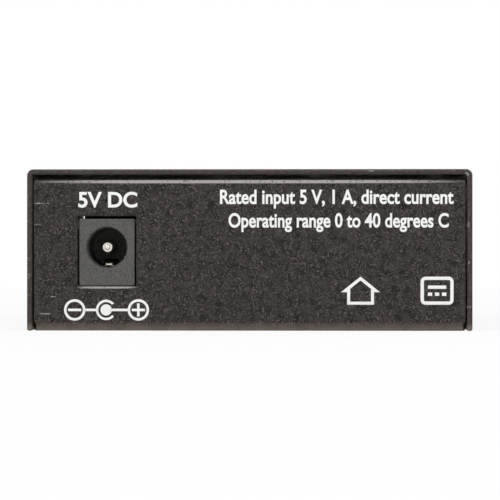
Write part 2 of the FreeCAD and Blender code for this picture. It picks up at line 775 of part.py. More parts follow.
def led_leads():
    """Two bent leads behind each lamp."""
    leads = []
    for z, leg in zip(lamp_zs, lamp_leg_ys):
        for side in (-1, 1):
            left = lamp_x + side * lamp_lead_spread - lead / 2
            section = [(lamp_rear, z), (leg, z), (leg, board_bottom - lead_below)]
            leads.append(strip([Vector(left, y, h) for y, h in section], lead, 0, Vector(lead, 0, 0)))
    return leads


# ---- Parts on the board ----
def body_on_board(place, size, lift=0.0):
    """A moulded body of the given size standing on the board."""
    width, depth, height = size
    low = board_top + lift
    return block(about(place[0], width), about(place[1], depth), (low, low + height))


def chip_body(place, size):
    """A chip's body with its upper edges bevelled."""
    body = body_on_board(place, size, standoff_of_chip)
    edges = [e for e in body.Edges if e.BoundBox.ZMin > board_top + size[2]]
    return body.makeChamfer(size[2] * chip_bevel, edges)


def gull_wing(x, y, outward, width, height):
    """One lead that leaves a chip half way up its side and slopes down to a foot on the board."""
    across = Vector(-outward.y, outward.x, 0) * width
    start = Vector(x, y, 0) - across * 0.5
    foot = board_top + lead_sheet / 2
    section = [(lead_sheet / 2, height), (lead_reach / 2, foot), (lead_reach, foot)]
    path = [start + outward * along + Vector(0, 0, z) for along, z in section]
    return strip(path, lead_sheet, 0, across)


def chip_leads(place, size, per_side, pitch, sides):
    """The leads on the given sides of a chip."""
    leads = []
    height = board_top + standoff_of_chip + size[2] / 2
    for outward in sides:
        edge = Vector(outward.x * size[0] / 2, outward.y * size[1] / 2, 0)
        along = Vector(-outward.y, outward.x, 0)
        for i in range(per_side):
            at = Vector(place[0], place[1], 0) + edge + along * ((i - (per_side - 1) / 2) * pitch)
            leads.append(gull_wing(at.x, at.y, outward, lead_width, height))
    return leads


along_y = (Vector(0, 1, 0), Vector(0, -1, 0))
all_round = along_y + (Vector(1, 0, 0), Vector(-1, 0, 0))
capacitor_x = jack_x + jack_to_capacitors
capacitor_start = -board_end + edge_to_capacitor
capacitor_places = [(capacitor_x, capacitor_start + i * capacitor_pitch) for i in range(capacitor_count)]
capacitor_lead_places = [
    (x + side * capacitor_lead_pitch / 2, y) for x, y in capacitor_places for side in (-1, 1)
]
coil_place = (capacitor_x + capacitors_to_coil, -board_end + edge_to_coil)
regulator_place = (capacitor_x + capacitors_to_coil, -board_end + edge_to_regulator)
transformer_place = (socket_x, port_face - socket_length - socket_to_transformer)
converter_place = (socket_x, transformer_place[1] - transformer_to_converter)
crystal_place = (socket_x, converter_place[1] + converter_to_crystal)
memory_place = (socket_x + converter_to_memory, converter_place[1])
chip_capacitor_places = [(socket_x + dx, converter_place[1] + dy) for dx, dy in chip_capacitor_offsets]
chip_resistor_places = [(socket_x + dx, converter_place[1] + dy) for dx, dy in chip_resistor_offsets]
chip_resistor_places += [(x, switch_rear - switch_to_resistors) for x in switch_xs]


def bulk_capacitors():
    """Standing electrolytic capacitors: drawn cans."""
    return [
        Part.makeCylinder(capacitor_diameter / 2, capacitor_height, Vector(x, y, board_top))
        for x, y in capacitor_places
    ]


def power_coil():
    """The power coil: a ferrite block with bevelled upright corners."""
    coil = body_on_board(coil_place, coil_size)
    edges = [e for e in coil.Edges if e.BoundBox.ZLength > coil_size[2] / 2]
    return coil.makeChamfer(coil_bevel, edges)


def save(name, shape):
    """Write one node, from a solid or from a list of separate solids."""
    whole = Part.Compound(shape) if isinstance(shape, list) else shape
    whole.exportStep("parts/" + name + ".step")


os.makedirs("parts", exist_ok=True)
save("chassis", chassis())
save("top_cover", top_cover())
save("cover_screws", cover_screws())
save("board_standoffs", board_standoffs())
save("circuit_board", circuit_board())
save("board_screws", board_screws())
save("dc_jack_housing", dc_jack_housing())
save("dc_jack_pin", dc_jack_pin())
save("dc_jack_spring", dc_jack_spring())
save("dc_jack_terminals", dc_jack_terminals())
save("fibre_transceiver_housing", fibre_transceiver_housing())
for number, port_x in enumerate(fibre_port_xs, 1):
    save("fibre_sleeve_" + str(number), fibre_sleeve(port_x))
save("fibre_latches", fibre_latches())
save("transceiver_leads", transceiver_leads())
save("rj45_shield", rj45_shield())
save("rj45_insert", rj45_insert())
save("rj45_contacts", rj45_contacts())
save("dip_switch_body", dip_switch_body())
for number, lever_x in enumerate(switch_xs, 1):
    save("dip_lever_" + str(number), dip_lever(lever_x))
save("dip_switch_leads", leads_down(switch_lead_places, board_top))
save("led_holder", led_holder())
save("indicator_leds", indicator_leds())
save("led_leads", led_leads())
save("bulk_capacitors", bulk_capacitors())
save("capacitor_leads", leads_down(capacitor_lead_places, board_top))
save("power_coil", power_coil())
save("regulator_body", chip_body(regulator_place, regulator_size))
save("regulator_leads", chip_leads(
    regulator_place, regulator_size, small_chip_leads_per_side, small_chip_lead_pitch, along_y))
save("converter_chip_body", chip_body(converter_place, converter_size))
save("converter_chip_leads", chip_leads(
    converter_place, converter_size, converter_leads_per_side, converter_lead_pitch, all_round))
save("transformer_body", chip_body(transformer_place, transformer_size))
save("transformer_leads", chip_leads(
    transformer_place, transformer_size, transformer_leads_per_side, transformer_lead_pitch, along_y))
save("memory_chip_body", chip_body(memory_place, memory_size))
save("memory_chip_leads", chip_leads(
    memory_place, memory_size, small_chip_leads_per_side, small_chip_lead_pitch, along_y))
save("crystal", body_on_board(crystal_place, crystal_size))
save("chip_capacitors", [body_on_board(place, chip_capacitor_size) for place in chip_capacitor_places])
save("chip_resistors", [body_on_board(place, chip_resistor_size) for place in chip_resistor_places])
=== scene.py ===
import bmesh
import bpy
import json
import math
from mathutils import Matrix, Vector


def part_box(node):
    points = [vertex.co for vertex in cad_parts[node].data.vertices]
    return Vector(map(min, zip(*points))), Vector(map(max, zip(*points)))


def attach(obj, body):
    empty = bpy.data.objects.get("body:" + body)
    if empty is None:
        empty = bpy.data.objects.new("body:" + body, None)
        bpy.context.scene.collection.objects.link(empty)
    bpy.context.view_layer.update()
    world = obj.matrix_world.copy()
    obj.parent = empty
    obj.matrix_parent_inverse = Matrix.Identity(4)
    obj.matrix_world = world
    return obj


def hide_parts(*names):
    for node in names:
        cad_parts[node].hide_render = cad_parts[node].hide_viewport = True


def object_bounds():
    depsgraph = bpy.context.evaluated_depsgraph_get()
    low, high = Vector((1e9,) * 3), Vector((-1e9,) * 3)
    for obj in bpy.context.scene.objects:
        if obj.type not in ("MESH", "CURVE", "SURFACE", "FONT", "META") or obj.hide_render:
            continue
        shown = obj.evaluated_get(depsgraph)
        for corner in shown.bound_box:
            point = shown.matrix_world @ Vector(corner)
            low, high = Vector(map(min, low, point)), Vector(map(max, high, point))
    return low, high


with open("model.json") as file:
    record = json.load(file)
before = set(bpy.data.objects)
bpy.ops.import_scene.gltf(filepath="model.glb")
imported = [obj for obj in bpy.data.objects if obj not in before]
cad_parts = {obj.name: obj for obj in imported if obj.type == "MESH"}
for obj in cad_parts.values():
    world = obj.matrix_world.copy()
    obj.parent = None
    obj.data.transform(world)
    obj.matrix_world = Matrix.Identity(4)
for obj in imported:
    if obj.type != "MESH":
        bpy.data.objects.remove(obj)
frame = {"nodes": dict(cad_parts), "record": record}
cad_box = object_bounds()
low, high = cad_box
MM = 0.001

# ---- Folded tray ----
# The tray is one sheet of 1 mm steel: base, two end panels with top flanges, and a screw ear each
# side. It is punched, folded and powder coated in a fine-grained black. The coat rounds every cut
# edge and thins out there, so edges look slightly paler than the flats.
# Painted into the coat: highlights on the panel's top bend and under the jack, and the floor's
# reflection at the foot.
tray_black = (0.0030, 0.0024, 0.0021, 1)
coat_fleck = (0.165, 0.142, 0.133, 1)
rubbed_edge = (0.060, 0.054, 0.050, 1)
# pale colour painted on the foot in place of the white floor's reflection
painted_floor_reflection = (0.205, 0.170, 0.146, 1)
# pale colour of the scuffs, and of the painted highlights on the tray's panel
scuff_and_highlight = (0.36, 0.345, 0.335, 1)
coat_grain = 2600           # grains a metre
coat_relief = 0.1 * MM
coat_rounding = 0.3 * MM
foot_top = 1.5 * MM         # the foot of the panels is painted paler below this height, as a painted reflection of the floor
foot_full = 0.2 * MM        # and painted palest below this one
scuff_and_highlight_rim = 0.18            # how softly the scuffs and painted highlights break up
# The first two are painted highlights: a pale line along the top bend of the power panel and a pale
# patch on the lower rim of the jack's cut-out. The rest are scuffs.
tray_scuffs_and_highlights = (             # middle along X and Z, width and height, in millimetres, and gaps
    (0, 24.45, 70.2, 0.62, 0.26), (-23.36, 7.12, 9.9, 0.42, 0.26),
    (-33.5, 2.8, 2.0, 0.22, 0.42), (-34.3, 20.9, 3.4, 0.2, 0.42),
    (-32.2, 5.6, 0.9, 0.18, 0.42), (-34.9, 17.4, 1.6, 0.16, 0.42))
flat_angle = math.radians(0.8)
sharp_angle = math.radians(35)
level_cosine = 0.99995      # two faces with a larger cosine between them are one flat


class Shade:
    """A shader value that arithmetic can be written with, and the maker of every other node."""

    def __init__(self, tree, socket=None):
        self.tree = tree
        self.socket = socket

    def node(self, kind, inputs, out=0, **settings):
        """Any node: its settings first, then a value or a link for each of its inputs."""
        made = self.tree.nodes.new("ShaderNode" + kind)
        for name, value in settings.items():
            setattr(made, name, value)
        for name, value in inputs.items():
            if isinstance(value, Shade):
                self.tree.links.new(value.socket, made.inputs[name])
            else:
                made.inputs[name].default_value = value
        return Shade(self.tree, made.outputs[out] if len(made.outputs) else None)

    def maths(self, operation, a, b=0.0):
        return self.node("Math", {0: a, 1: b}, operation=operation)

    def __add__(self, other):
        return self.maths("ADD", self, other)

    def __sub__(self, other):
        return self.maths("SUBTRACT", self, other)

    def __rsub__(self, other):
        return self.maths("SUBTRACT", other, self)

    def __mul__(self, other):
        return self.maths("MULTIPLY", self, other)

    def __truediv__(self, other):
        return self.maths("DIVIDE", self, other)

    def __rtruediv__(self, other):
        return self.maths("DIVIDE", other, self)

    def __abs__(self):
        return self.maths("ABSOLUTE", self)

    __radd__ = __add__
    __rmul__ = __mul__

    def larger(self, other):
        """The larger of this value and the other."""
        return self.maths("MAXIMUM", self, other)

    def ramp(self, start, end, first=0.0, last=1.0):
        """This value carried from the span start to end onto first to last, held at its ends."""
        return self.node("MapRange", {0: self, 1: start, 2: end, 3: first, 4: last}, clamp=True)

    def spread(self, first, last):
        """This noise carried onto first to last, from the span 0.3 to 0.7 that holds most of it."""
        return self.ramp(0.3, 0.7, first, last)

    def mixed(self, first, second):
        """The colour between first and second that this value picks."""
        return self.node("Mix", {0: self, 6: first, 7: second}, out=2, data_type="RGBA")

    def noise(self, scale, detail=2.0, roughness=0.5, stretch=(1, 1, 1)):
        """Cloudy noise on this place, with grains of 1 / scale metres."""
        place = self.node("VectorMath", {0: self, 1: stretch}, operation="MULTIPLY")
        inputs = {"Vector": place, "Scale": scale, "Detail": detail, "Roughness": roughness}
        return self.node("TexNoise", inputs)

    def axis(self, letter):
        """One coordinate of this place."""
        return self.node("SeparateXYZ", {0: self}, out=letter)

    def rubbed(self):
        """1 on the rounded edges of a dressed piece, and 0 on its faces."""
        return self.node("Attribute", {}, out="Fac", attribute_name="rubbed",
                         attribute_type="GEOMETRY")

    def bump(self, height, strength=1.0):
        """The surface raised by this value, up to height metres."""
        inputs = {"Height": self, "Distance": height, "Strength": strength}
        return self.node("Bump", inputs, out="Normal")


def new_finish(name):
    """A bare material, and the object's own coordinates to draw its pattern on."""
    material = bpy.data.materials.new(name)
    material.use_nodes = True
    material.node_tree.nodes.clear()
    return material, Shade(material.node_tree).node("TexCoord", {}, out="Object")


def surface(place, colour, roughness, normal, metal=0.0, **constant):
    """The shader that ends a material."""
    inputs = {"Base Color": colour, "Roughness": roughness, "Metallic": metal, "Normal": normal}
    inputs.update({name.replace("_", " "): value for name, value in constant.items()})
    shader = place.node("BsdfPrincipled", inputs)
    place.node("OutputMaterial", {"Surface": shader})


def patch(place, x, z, width, height):
    """1 inside a small rounded patch on the XZ plane, fading to 0 at its rim."""
    across = (place.axis("X") - x) / (width / 2)
    up = (place.axis("Z") - z) / (height / 2)
    across, up = across * across, up * up
    return (across * across + up * up).ramp(1.0, 0.2)


def powder_coat(name, black, scuffs_and_highlights):
    """Fine-grained powder coat, paler where it thins at the edges, with a painted reflection of the
    floor at the foot, scuffs and painted highlights.
    """
    material, place = new_finish(name)
    grain = place.noise(coat_grain, roughness=0.6)
    clumps = place.noise(1100).ramp(0.35, 0.65, 0.6, 1.2)
    flecks = place.noise(coat_grain * 1.6, detail=1.0, roughness=0.7).ramp(0.52, 0.68) * clumps
    clouds = place.noise(90).spread(0.9, 1.1)
    worn = place.rubbed() * place.noise(700, detail=3.0).ramp(0.35, 0.75, 0.2, 0.9)
    streaks = place.noise(300, stretch=(1, 1, 0.2)).ramp(0.2, 0.6, 0.5, 1.0)
    # painted reflection of the white floor along the foot, broken into upright streaks
    floor_reflection_mask = place.axis("Z").ramp(foot_top, foot_full) * streaks
    base = (flecks * clouds).mixed(black, coat_fleck)
    base = floor_reflection_mask.mixed(worn.mixed(base, rubbed_edge), painted_floor_reflection)
    # pale patches: scuffs, and on the tray also painted highlights
    for x, z, width, height, gaps in scuffs_and_highlights:
        scuff_and_highlight_mask = patch(place, x * MM, z * MM, width * MM, height * MM)
        scuff_and_highlight_mask = scuff_and_highlight_mask * place.noise(coat_grain).ramp(gaps, gaps + scuff_and_highlight_rim)
        base = scuff_and_highlight_mask.mixed(base, scuff_and_highlight)
    rough = grain.spread(0.26, 0.38) - worn * 0.05
    surface(place, base, rough, grain.bump(coat_relief), Specular_IOR_Level=0.12)
    return material


def placed(mesh, name, finish, slot, body, *nodes):
    """A piece from a bmesh with its material and body, standing for the CAD nodes, which are
    hidden. The slot is not used.
    """
    data = bpy.data.meshes.new(name)
    mesh.to_mesh(data)
    mesh.free()
    data.materials.append(finish)
    piece = bpy.data.objects.new(name, data)
    bpy.context.scene.collection.objects.link(piece)
    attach(piece, body)
    if nodes:
        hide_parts(*nodes)


def dressed(node, finish, slot, rounding, narrow=0.3 * MM, body="enclosure"):
    """A merged copy of a CAD node's mesh with its sharp edges rounded, that stands for the node.

    Faces narrower than twice narrow are strips of a curve and are shaded smooth, unless they are
    split off a flat.
    """
    mesh = bmesh.new()
    mesh.from_mesh(frame["nodes"][node].data)
    bmesh.ops.remove_doubles(mesh, verts=mesh.verts, dist=1e-6)
    bmesh.ops.dissolve_limit(mesh, angle_limit=flat_angle, verts=mesh.verts, edges=mesh.edges,
                             use_dissolve_boundaries=False)
    bmesh.ops.connect_verts_concave(mesh, faces=mesh.faces)
    bmesh.ops.recalc_face_normals(mesh, faces=mesh.faces)
    edge_layer = mesh.verts.layers.float.new("rubbed")
    sharp = [e for e in mesh.edges if e.is_manifold and e.calc_face_angle() > sharp_angle]
    rounded = bmesh.ops.bevel(
        mesh, geom=sharp, offset=rounding, offset_type="OFFSET", segments=2, profile=0.5,
        affect="EDGES", material=-1, clamp_overlap=False)
    for vert in rounded["verts"]:
        vert[edge_layer] = 1.0
    rims = set(rounded["faces"])
    mesh.normal_update()
    for face in mesh.faces:
        beside = {other for edge in face.edges for other in edge.link_faces} - rims - {face}
        split_flat = any(face.normal.dot(other.normal) > level_cosine for other in beside)
        curved = face.calc_area() < face.calc_perimeter() * narrow and not split_flat
        face.smooth = face in rims or curved
    placed(mesh, node + "_dressed", finish, slot, body, node)


tray_coat = powder_coat("tray_powder_coat", tray_black, tray_scuffs_and_highlights)
dressed("chassis", tray_coat, "tray_paint", rounding=coat_rounding)

# ---- Standoffs ----
# Hexagonal steel posts clinched into the tray, with a tapped hole for a board screw. They are
# plated and were turned from hexagonal bar, so the flats show fine lines along their length.
material, place = new_finish("plated_standoff")
lines = place.noise(900, stretch=(1, 1, 0.06))
surface(place, lines.mixed((0.42, 0.42, 0.40, 1), (0.62, 0.61, 0.58, 1)),
        lines.spread(0.28, 0.42), lines.bump(0.004 * MM), metal=1.0)
dressed("board_standoffs", material, "standoff_steel", rounding=0.08 * MM)

# ---- Circuit board ----
# Glass-fibre laminate 1.6 mm thick under a green mask. Copper runs show through the mask as
# slightly paler bands, and the sawn edges show the bare yellowish laminate.
mask_green = (0.012, 0.115, 0.045, 1)
mask_over_copper = (0.030, 0.20, 0.085, 1)
bare_laminate = (0.34, 0.30, 0.15, 1)
board_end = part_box("circuit_board")[1]


def sawn_edge(along, end):
    """1 at the end of the board along one axis, both ways from the middle, and 0 before it."""
    return abs(along).ramp(end - 0.02 * MM, end - 0.01 * MM)


material, place = new_finish("masked_board")
runs = place.node(
    "TexBrick", {"Vector": place, "Scale": 160.0, "Mortar Size": 0.06, "Color1": (1, 1, 1, 1),
                 "Color2": (0.7, 0.7, 0.7, 1), "Mortar": (0, 0, 0, 1)}, out="Color")
weave = place.noise(2500, stretch=(1, 0.3, 1))
copper = place.node("RGBToBW", {0: runs}) * place.noise(120, detail=1.0).ramp(0.45, 0.5)
sawn = sawn_edge(place.axis("X"), board_end.x).larger(sawn_edge(place.axis("Y"), board_end.y))
surface(place, sawn.mixed(copper.mixed(mask_green, mask_over_copper), bare_laminate),
        weave.spread(0.26, 0.4), copper.bump(0.03 * MM))


def finish_node(node, finish):
    """A CAD node that keeps its own mesh takes the finish."""
    data = frame["nodes"][node].data
    data.materials.clear()
    data.materials.append(finish)


finish_node("circuit_board", material)

# ---- Board screws ----
# Three flat-topped machine screws of bright zinc-plated steel, pressed with a cross recess and
# turned down onto the board. The head's rim is rounded, and the recess has four tapered wings.
head = 2.3 * MM             # radius of the head
rise = 1.7 * MM             # height of the head
shank = 1.25 * MM           # radius of the shank
length = 4.2 * MM           # length of the shank
recess_width = 2.6 * MM
recess_depth = 1.1 * MM
wing_share = 0.2            # thickness of a wing of the cross, as a part of its width
wing_taper = (0.42, 0.75, 1)        # how much of a wing's width and thickness is left at its foot
screw_turns = (0.3, 1.1, 0.7)       # angle of each cross, in radians


def cross_recess(width, depth):
    """The cutter of a cross recess, sunk from z = 0: two tapered wings at right angles."""
    mesh = bmesh.new()
    for turn in (0, math.pi / 2):
        wing = bmesh.ops.create_cube(mesh, size=1.0)["verts"]
        bmesh.ops.scale(mesh, verts=wing, vec=(width, width * wing_share, 2 * depth))
        low_end = [v for v in wing if v.co.z < 0]
        bmesh.ops.scale(mesh, verts=low_end, vec=wing_taper)
        bmesh.ops.rotate(mesh, verts=wing, cent=(0, 0, 0), matrix=Matrix.Rotation(turn, 3, "Z"))
    return mesh


def spun(profile):
    """A closed form turned about Z from (radius, height) points, with smooth sides."""
    mesh = bmesh.new()
    line = [mesh.verts.new((r, 0, z)) for r, z in profile]
    edges = [mesh.edges.new(pair) for pair in zip(line, line[1:])]
    bmesh.ops.spin(mesh, geom=line + edges, cent=(0, 0, 0), axis=(0, 0, 1), angle=2 * math.pi,
                   steps=48, use_merge=True)
    bmesh.ops.remove_doubles(mesh, verts=mesh.verts, dist=1e-7)
    bmesh.ops.recalc_face_normals(mesh, faces=mesh.faces)
    for face in mesh.faces:
        face.smooth = abs(face.normal.z) < 0.99
    return mesh


def carved(profile, width, depth):
    """A turned screw with a cross recess cut into its top, as a mesh."""
    solids = []
    for mesh in (spun(profile), cross_recess(width, depth)):
        data = bpy.data.meshes.new("blank")
        mesh.to_mesh(data)
        mesh.free()
        solids.append(bpy.data.objects.new("blank", data))
        bpy.context.scene.collection.objects.link(solids[-1])
    blank, cutter = solids
    cut = blank.modifiers.new("recess", "BOOLEAN")
    cut.object, cut.operation, cut.solver = cutter, "DIFFERENCE", "EXACT"
    cut.use_self = True     # the two wings of the recess cross
    whole = bmesh.new()
    whole.from_object(blank, bpy.context.evaluated_depsgraph_get())
    for solid in solids:
        bpy.data.objects.remove(solid)
    return whole


def set_in_place(parts, name, finish, slot, body, *nodes):
    """Several meshes, each with its own placement, joined into one piece."""
    joined = bmesh.new()
    for mesh, at in parts:
        bmesh.ops.transform(mesh, matrix=at, verts=mesh.verts)
        data = bpy.data.meshes.new("part")
        mesh.to_mesh(data)
        mesh.free()
        joined.from_mesh(data)
        bpy.data.meshes.remove(data)
    placed(joined, name, finish, slot, body, *nodes)


material, place = new_finish("bright_zinc")
haze = place.noise(500, detail=3.0)
surface(place, haze.mixed((0.55, 0.56, 0.60, 1), (0.72, 0.72, 0.70, 1)),
        haze.spread(0.2, 0.38), place.noise(3000).bump(0.003 * MM), metal=1.0)
flat_head = [(0, -length), (shank * 0.8, -length), (shank, -length * 0.93), (shank, 0),
             (head * 0.97, 0), (head, rise * 0.08), (head, rise * 0.72), (head * 0.93, rise * 0.94),
             (head * 0.8, rise), (0, rise)]
profile = [(radius, height - rise) for radius, height in flat_head]
screw_low, screw_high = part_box("board_screws")
side_x = screw_high.x - head
front_y, back_y = screw_low.y + head, screw_high.y - head
screw_places = ((-side_x, front_y), (side_x, front_y), (side_x, back_y))
parts = []
for (x, y), turn in zip(screw_places, screw_turns):
    at = Matrix.Translation((x, y, screw_high.z)) @ Matrix.Rotation(turn, 4, "Z")
    parts.append((carved(profile, recess_width, recess_depth), at))
set_in_place(parts, "board_screws_recessed", material, "zinc_screw", "enclosure", "board_screws")

# ---- Power jack ----
# A moulded jack in matt dark grey plastic: square flange in the panel, round mouth, and a turned
# nickel pin on the axis. A leaf spring of bright steel with a rolled lip rises through a slot in
# the floor of the bore to press on the plug.
jack_grey = (0.012, 0.0117, 0.0112, 1)
jack_grey_pale = (0.120, 0.1175, 0.112, 1)
material, place = new_finish("jack_moulding")
spark = place.noise(3700, detail=1.0, roughness=0.7)
clouds = place.noise(260).spread(0, 1)
pale = spark.ramp(0.44, 0.62) * 0.85 + clouds * 0.15 + place.rubbed() * 0.6
surface(place, pale.mixed(jack_grey, jack_grey_pale), spark.spread(0.36, 0.5),
        spark.bump(0.05 * MM), Specular_IOR_Level=0.14)
dressed("dc_jack_housing", material, "jack_plastic", rounding=0.16 * MM)

material, place = new_finish("turned_nickel")
rings = place.noise(2600, stretch=(0.1, 1, 0.1))
surface(place, rings.mixed((0.70, 0.665, 0.60, 1), (0.82, 0.79, 0.73, 1)),
        rings.spread(0.14, 0.24), rings.bump(0.002 * MM), metal=1.0)
pin_low, pin_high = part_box("dc_jack_pin")
pin = (pin_high.x - pin_low.x) / 2      # radius of the pin
rivet = pin * 0.8                       # radius of its riveted end
reach = pin_high.y - pin_low.y
bore_floor = 8.9 * MM                   # from the tip of the pin to the bottom of the bore
turned_tip = (              # nose, groove and shoulder: radius and depth, as parts of pin
    (0, 0), (0.2, 0.02), (0.36, 0.1), (0.46, 0.24), (0.48, 0.5), (0.58, 0.5), (0.63, 0.26),
    (0.76, 0.32), (0.88, 0.48), (0.96, 0.72), (1.0, 1.0))
profile = [(pin * radius, pin * depth) for radius, depth in turned_tip]
profile += [(pin, bore_floor), (rivet, bore_floor), (rivet, reach), (0, reach)]
tip = Vector(((pin_low.x + pin_high.x) / 2, pin_low.y, (pin_low.z + pin_high.z) / 2))
at = Matrix.Translation(tip) @ Matrix.Rotation(-math.pi / 2, 4, "X")
set_in_place([(spun(profile), at)], "dc_jack_pin_domed", material, "nickel", "enclosure",
             "dc_jack_pin")

material, place = new_finish("rolled_spring_steel")
rolled = place.noise(1500, detail=3.0, stretch=(1, 0.08, 0.08))
tarnish = place.noise(420).ramp(0.45, 0.7) * 0.5
surface(place, tarnish.mixed((0.93, 0.90, 0.82, 1), (0.72, 0.62, 0.44, 1)),
        rolled.spread(0.22, 0.34), rolled.bump(0.003 * MM), metal=1.0)
dressed("dc_jack_spring", material, "spring_steel", rounding=0.1 * MM)

lip = 0.44 * MM             # radius of the rolled lip at the tip of the spring
lip_width = 1.2 * MM
lip_drop = 1.88 * MM        # from the lowest line of the pin down to the middle of the lip
spring_low, spring_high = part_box("dc_jack_spring")
mesh = bmesh.new()
bmesh.ops.create_cone(mesh, cap_ends=True, segments=32, radius1=lip, radius2=lip, depth=lip_width)
ends = [e for e in mesh.edges if e.calc_face_angle() > math.radians(60)]
bmesh.ops.bevel(mesh, geom=ends, offset=0.14 * MM, segments=3, profile=0.5, affect="EDGES",
                material=-1)
for face in mesh.faces:
    face.smooth = True
middle = Vector(((spring_low.x + spring_high.x) / 2, spring_low.y + lip, pin_low.z - lip_drop))
at = Matrix.Translation(middle) @ Matrix.Rotation(math.pi / 2, 4, "Y")
set_in_place([(mesh, at)], "spring_rolled_lip", material, "spring_steel", "enclosure")
dressed("dc_jack_terminals", material, "spring_steel", rounding=0.05 * MM)

# ---- Fibre transceiver ----
# A duplex fibre module: one black moulding with two square mouths and their key slots, a white
# ceramic sleeve in each mouth with two sprung hooks beside it, and leads soldered into the board.
material, place = new_finish("module_moulding")
spark = place.noise(3000, roughness=0.55)
pale = place.rubbed() * 0.45 + place.noise(200).ramp(0.35, 0.7) * 0.3
surface(place, pale.mixed((0.016, 0.016, 0.018, 1), (0.05, 0.05, 0.053, 1)),
        spark.spread(0.36, 0.5), spark.bump(0.008 * MM, strength=0.7))
dressed("fibre_transceiver_housing", material, "transceiver_plastic", rounding=0.05 * MM)

material, place = new_finish("ground_ceramic")
ground = place.noise(2200, stretch=(1, 0.1, 1))
surface(place, ground.mixed((0.80, 0.79, 0.75, 1), (0.90, 0.89, 0.86, 1)),
        ground.spread(0.16, 0.3), ground.bump(0.002 * MM), Coat_Weight=0.2)
for number in (1, 2):
    dressed("fibre_sleeve_%d" % number, material, "ceramic_sleeve", rounding=0.08 * MM)

material, place = new_finish("hook_moulding")
flow = place.noise(900, stretch=(1, 0.2, 1))
surface(place, flow.mixed((0.56, 0.52, 0.42, 1), (0.68, 0.64, 0.54, 1)),
        flow.spread(0.34, 0.48), flow.bump(0.006 * MM))
dressed("fibre_latches", material, "latch_plastic", rounding=0.06 * MM, narrow=0.1 * MM)

material, place = new_finish("tinned_copper")
solder = place.noise(1200, detail=3.0)
surface(place, solder.mixed((0.60, 0.60, 0.61, 1), (0.76, 0.76, 0.77, 1)),
        solder.spread(0.2, 0.42), solder.bump(0.006 * MM), metal=1.0)
for node in ("transceiver_leads", "dip_switch_leads", "led_leads", "capacitor_leads",
             "regulator_leads", "converter_chip_leads", "transformer_leads", "memory_chip_leads"):
    finish_node(node, material)

# ---- Copper socket ----
# A folded and tinned sheet shield round a black moulded insert. Eight gold-plated wires lie in
# grooves in its ceiling and slope down into the plug's opening.
material, place = new_finish("tinned_sheet")
rolled = place.noise(420, detail=3.0, roughness=0.55, stretch=(1, 0.25, 1))
pale = rolled.spread(0, 1) * 0.8 + place.rubbed() * 0.2
surface(place, pale.mixed((0.58, 0.58, 0.575, 1), (0.74, 0.74, 0.73, 1)),
        rolled.spread(0.2, 0.36), rolled.bump(0.006 * MM), metal=1.0)
dressed("rj45_shield", material, "shield_tin", rounding=0.07 * MM)

material, place = new_finish("insert_moulding")
spark = place.noise(3200)
clouds = place.noise(300).spread(0, 1)
surface(place, clouds.mixed((0.018, 0.018, 0.020, 1), (0.030, 0.030, 0.033, 1)),
        spark.spread(0.4, 0.52), spark.bump(0.008 * MM))
dressed("rj45_insert", material, "socket_plastic", rounding=0.06 * MM)

material, place = new_finish("gold_plate")
drawn = place.noise(2600, stretch=(1, 0.1, 0.1))
surface(place, drawn.mixed((0.84, 0.60, 0.26, 1), (0.95, 0.74, 0.40, 1)),
        drawn.spread(0.16, 0.28), drawn.bump(0.002 * MM), metal=1.0)
dressed("rj45_contacts", material, "gold_wire", rounding=0.05 * MM)

# ---- Setting switches ----
# A red moulded bank of four sliding switches. Each white lever has a knob that stands out of its
# slot, and the face is printed in white with ON above the slots and the numbers 1 to 4 below.
print_rise = 0.03 * MM
cap_share = 0.682           # height of a capital, as a part of the typeface's size
bold_share = 0.025          # how much the strokes are thickened, as a part of that size
switch_letter = 1.35 * MM
word_inset = 0.9 * MM       # from the side of the last lever to the middle of the word
word_drop = 1.85 * MM       # from the top of the switch to the foot of the word
number_foot = 0.65 * MM     # from the bottom of the switch to the foot of the numbers
material, place = new_finish("switch_moulding")
spark = place.noise(2600)
pale = place.rubbed() * 0.5 + spark.ramp(0.4, 0.7) * 0.25
surface(place, pale.mixed((0.40, 0.022, 0.018, 1), (0.56, 0.07, 0.055, 1)),
        spark.spread(0.34, 0.46), spark.bump(0.008 * MM))
dressed("dip_switch_body", material, "switch_plastic", rounding=0.09 * MM)

material, place = new_finish("lever_moulding")
spark = place.noise(2600)
grime = place.noise(700, detail=3.0).ramp(0.5, 0.75) * 0.5
surface(place, grime.mixed((0.84, 0.83, 0.79, 1), (0.62, 0.60, 0.54, 1)),
        spark.spread(0.3, 0.42), spark.bump(0.006 * MM))
for number in range(1, 5):
    dressed("dip_lever_%d" % number, material, "lever_plastic", rounding=0.09 * MM, narrow=0.1 * MM,
            body="lever_%d" % number)

white_ink, place = new_finish("white_ink")
ink = place.noise(2400, detail=3.0, roughness=0.6)
thin = place.noise(9000).ramp(0.66, 0.8) * 0.35
surface(place, thin.mixed((0.93, 0.93, 0.92, 1), (0.60, 0.59, 0.57, 1)),
        ink.spread(0.46, 0.6), ink.bump(0.008 * MM))


